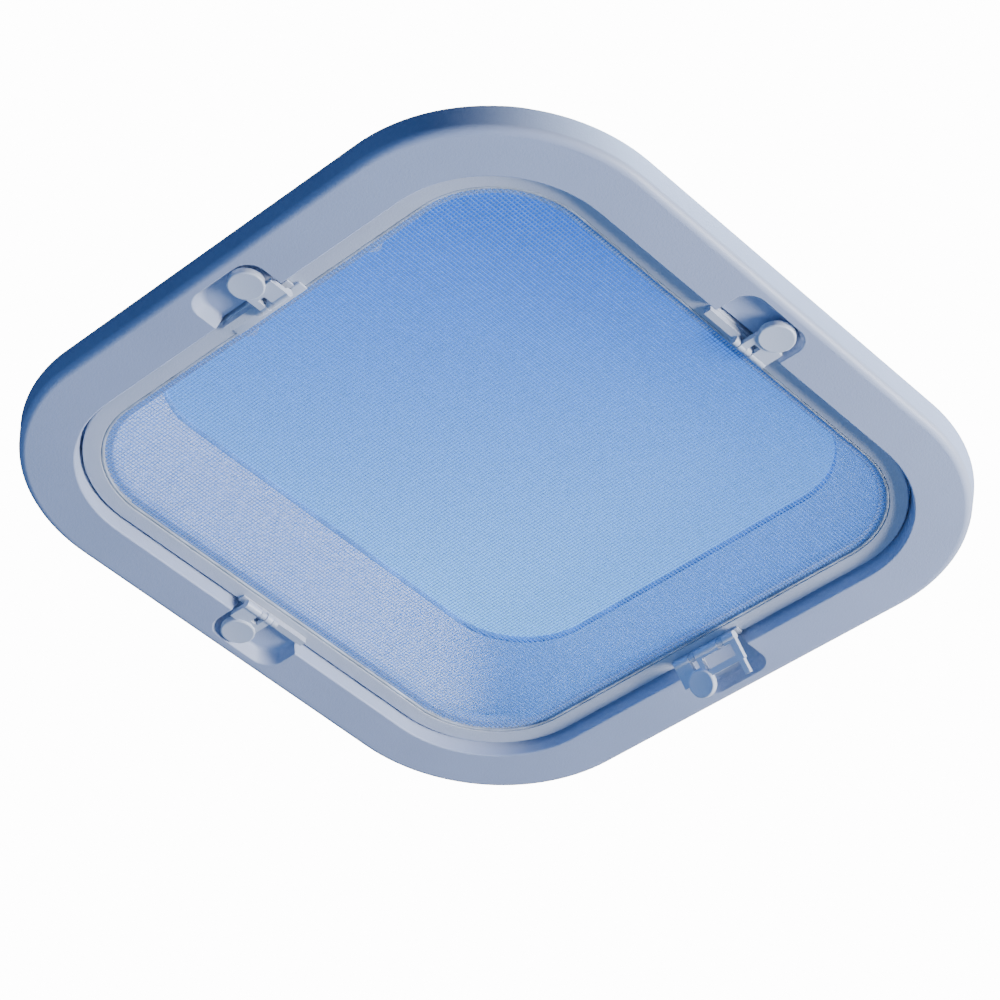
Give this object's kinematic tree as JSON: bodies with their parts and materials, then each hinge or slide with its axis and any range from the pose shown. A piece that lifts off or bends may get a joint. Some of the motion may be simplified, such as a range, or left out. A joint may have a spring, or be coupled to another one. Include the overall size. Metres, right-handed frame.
{
  "type": "opening porthole",
  "caption": "Square round-cornered opening light for a boat's deck or cabin roof, with a hinged tinted lid, liner, interior trim ring and a removable insect screen held by finger catches.",
  "frame": {"origin": "centre of the deck opening, on the underside of the deck flange", "axes": "+Z outdoors through the lens, +Y towards the hinges, -Y towards the handles"},
  "size_m": [0.5052, 0.5052, 0.103],
  "materials": {
    "moulding": "fine satin moulded",
    "screen": "satin moulded",
    "mesh": "woven coated fibre",
    "liner": "satin",
    "aluminium": "anodised satin",
    "steel": "brushed stainless",
    "rubber": "matte",
    "tinted": "blue tinted acrylic",
    "handle": "moulded"
  },
  "bodies": {
    "housing": {"base_frame": "aluminium", "lid_gasket": "rubber", "liner_collar": "liner", "trim_ring": "moulding", "trim_screw_1": "steel", "trim_screw_2": "steel", "trim_screw_3": "steel", "trim_screw_4": "steel", "trim_screw_5": "steel", "trim_screw_6": "steel", "trim_screw_7": "steel", "trim_screw_8": "steel", "striker_1": "steel", "striker_2": "steel", "hinge_bracket_1": "aluminium", "hinge_bracket_2": "aluminium", "hinge_pin_1": "steel", "hinge_pin_2": "steel"},
    "lid": {"lid_frame": "aluminium", "lens": "tinted", "lens_seal": "rubber", "hinge_leaf_1": "aluminium", "hinge_leaf_2": "aluminium"},
    "handle_1": {"spindle_1": "steel", "handle_lever_1": "handle", "cam_1": "steel", "outer_cap_1": "handle", "cam_bush_1": "handle"},
    "handle_2": {"spindle_2": "steel", "handle_lever_2": "handle", "cam_2": "steel", "outer_cap_2": "handle", "cam_bush_2": "handle"},
    "screen": {"screen_frame": "screen", "screen_mesh": "mesh", "mesh_spline": "rubber", "name_plate": "screen", "catch_bracket_a": "screen", "catch_bracket_b": "screen", "catch_bracket_c": "screen", "catch_bracket_d": "screen", "catch_pin_a": "steel", "catch_pin_b": "steel", "catch_pin_c": "steel", "catch_pin_d": "steel"},
    "catch_a": {"catch_lever_a": "moulding"},
    "catch_b": {"catch_lever_b": "moulding"},
    "catch_c": {"catch_lever_c": "moulding"},
    "catch_d": {"catch_lever_d": "moulding"}
  },
  "joints": [
    {"name": "lid_hinge", "type": "hinge", "parent": "housing", "child": "lid", "pos_m": [0, 0.2215, 0.0215], "axis": [-1, 0, 0], "range_deg": [0, 100]},
    {"name": "handle_1_turn", "type": "hinge", "parent": "lid", "child": "handle_1", "pos_m": [0.056, -0.1698, 0], "axis": [0, 0, -1], "range_deg": [0, 90]},
    {"name": "handle_2_turn", "type": "hinge", "parent": "lid", "child": "handle_2", "pos_m": [-0.056, -0.1698, 0], "axis": [0, 0, 1], "range_deg": [0, 90]},
    {"name": "screen_removal", "type": "slide", "parent": "housing", "child": "screen", "axis": [0, 0, -1], "range_m": [0, 0.06]},
    {"name": "catch_a_swing", "type": "hinge", "parent": "screen", "child": "catch_a", "pos_m": [0.205, 0.0123, -0.0362], "axis": [0, 1, 0], "range_deg": [0, 100]},
    {"name": "catch_b_swing", "type": "hinge", "parent": "screen", "child": "catch_b", "pos_m": [0.0123, -0.205, -0.0362], "axis": [1, 0, 0], "range_deg": [0, 100]},
    {"name": "catch_c_swing", "type": "hinge", "parent": "screen", "child": "catch_c", "pos_m": [-0.205, -0.0123, -0.0362], "axis": [0, -1, 0], "range_deg": [0, 100]},
    {"name": "catch_d_swing", "type": "hinge", "parent": "screen", "child": "catch_d", "pos_m": [-0.0123, 0.205, -0.0362], "axis": [-1, 0, 0], "range_deg": [-45, 55]}
  ]
}
